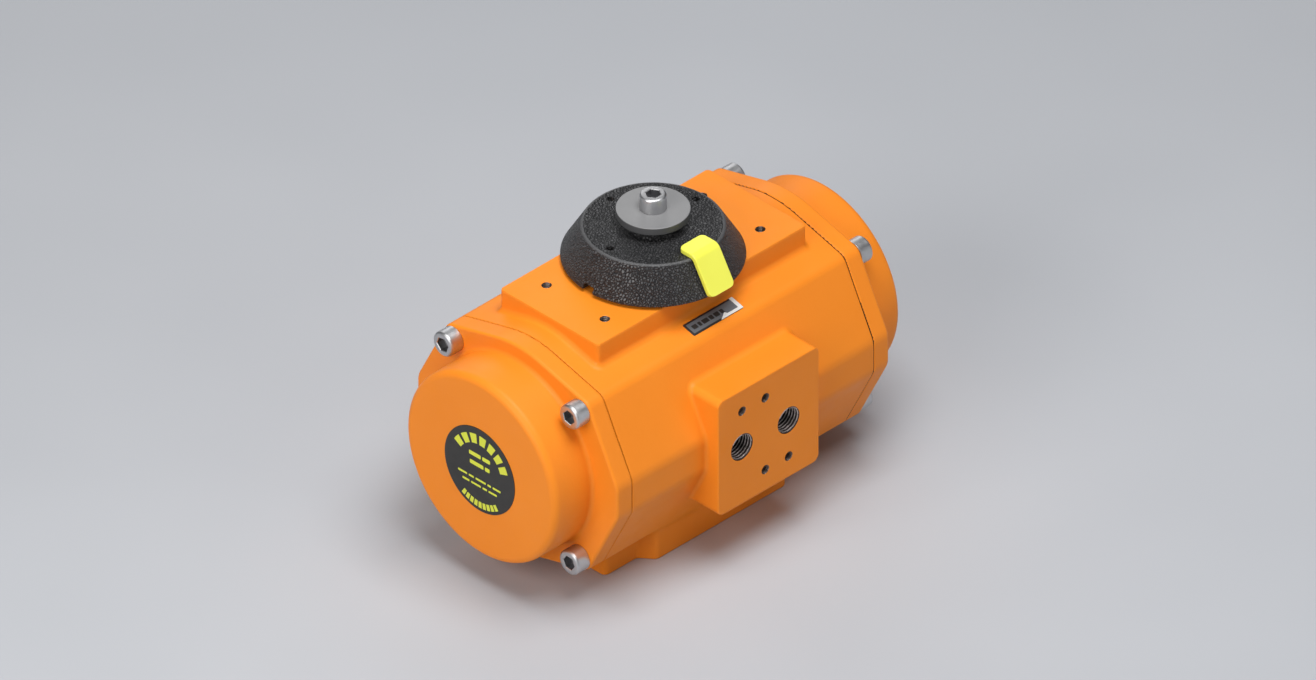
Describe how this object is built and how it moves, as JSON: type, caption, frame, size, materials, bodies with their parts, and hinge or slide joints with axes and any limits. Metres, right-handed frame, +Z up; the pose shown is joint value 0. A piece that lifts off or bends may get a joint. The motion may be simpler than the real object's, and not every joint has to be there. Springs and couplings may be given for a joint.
{
  "type": "rotary pneumatic actuator",
  "caption": "Spring-return rack-and-pinion quarter-turn pneumatic actuator with a position indicator, side air ports and a bottom drive socket for a valve.",
  "frame": {"origin": "on the output shaft's axis, in the plane of the valve mounting face under the housing", "axes": "+Z up along the output shaft, +X along the cylinder, the air ports face -Y"},
  "size_m": [0.1786, 0.1094, 0.1295],
  "materials": {
    "orange_housing": "satin",
    "orange_cap": "satin",
    "stainless": "satin",
    "steel": "satin",
    "cast_aluminium": "satin",
    "spring_steel": "satin",
    "nitrile": "matte",
    "bearing_polymer": "satin",
    "dome_black": "matte",
    "pointer_yellow": "satin",
    "disc_grey": "satin",
    "label_black": "satin",
    "label_plate": "satin"
  },
  "bodies": {
    "housing": {"housing": "orange_housing", "end_cap_left": "orange_cap", "end_cap_right": "orange_cap", "cap_screw_left_1": "stainless", "cap_screw_left_2": "stainless", "cap_screw_left_3": "stainless", "cap_screw_left_4": "stainless", "cap_screw_right_1": "stainless", "cap_screw_right_2": "stainless", "cap_screw_right_3": "stainless", "cap_screw_right_4": "stainless", "cap_o_ring_left": "nitrile", "cap_o_ring_right": "nitrile", "channel_seal_left": "nitrile", "channel_seal_right": "nitrile", "spring_outer_left": "spring_steel", "spring_inner_left": "spring_steel", "spring_outer_right": "spring_steel", "spring_inner_right": "spring_steel", "lower_bush": "bearing_polymer", "upper_bush": "bearing_polymer", "thrust_washer": "bearing_polymer", "cap_label": "label_black", "position_label": "label_plate"},
    "shaft": {"pinion_shaft": "steel", "lower_shaft_o_ring": "nitrile", "upper_shaft_o_ring": "nitrile", "retaining_ring": "spring_steel", "indicator_dome": "dome_black", "indicator_pointer": "pointer_yellow", "top_disc": "disc_grey", "top_screw": "stainless"},
    "piston_left": {"piston_left": "cast_aluminium", "piston_o_ring_left": "nitrile", "piston_guide_band_left": "bearing_polymer", "rack_guide_left": "bearing_polymer"},
    "piston_right": {"piston_right": "cast_aluminium", "piston_o_ring_right": "nitrile", "piston_guide_band_right": "bearing_polymer", "rack_guide_right": "bearing_polymer"}
  },
  "joints": [
    {"name": "shaft_turn", "type": "hinge", "parent": "housing", "child": "shaft", "pos_m": [0, 0, 0.0512], "axis": [0, 0, 1], "range_deg": [0, 90]},
    {"name": "piston_left_slide", "type": "slide", "parent": "housing", "child": "piston_left", "axis": [-1, 0, 0], "range_m": [0, 0.01885], "stiffness_N_per_m": 3000, "springref_m": -0.002, "deforming": ["spring_outer_left", "spring_inner_left"]},
    {"name": "piston_right_slide", "type": "slide", "parent": "housing", "child": "piston_right", "axis": [1, 0, 0], "range_m": [0, 0.0189], "deforming": ["spring_outer_right", "spring_inner_right"]}
  ],
  "couplings": [
    {"joint": "shaft_turn", "follows": "piston_left_slide", "rad_per_m": 83.333},
    {"joint": "piston_right_slide", "follows": "piston_left_slide", "ratio": 1}
  ]
}
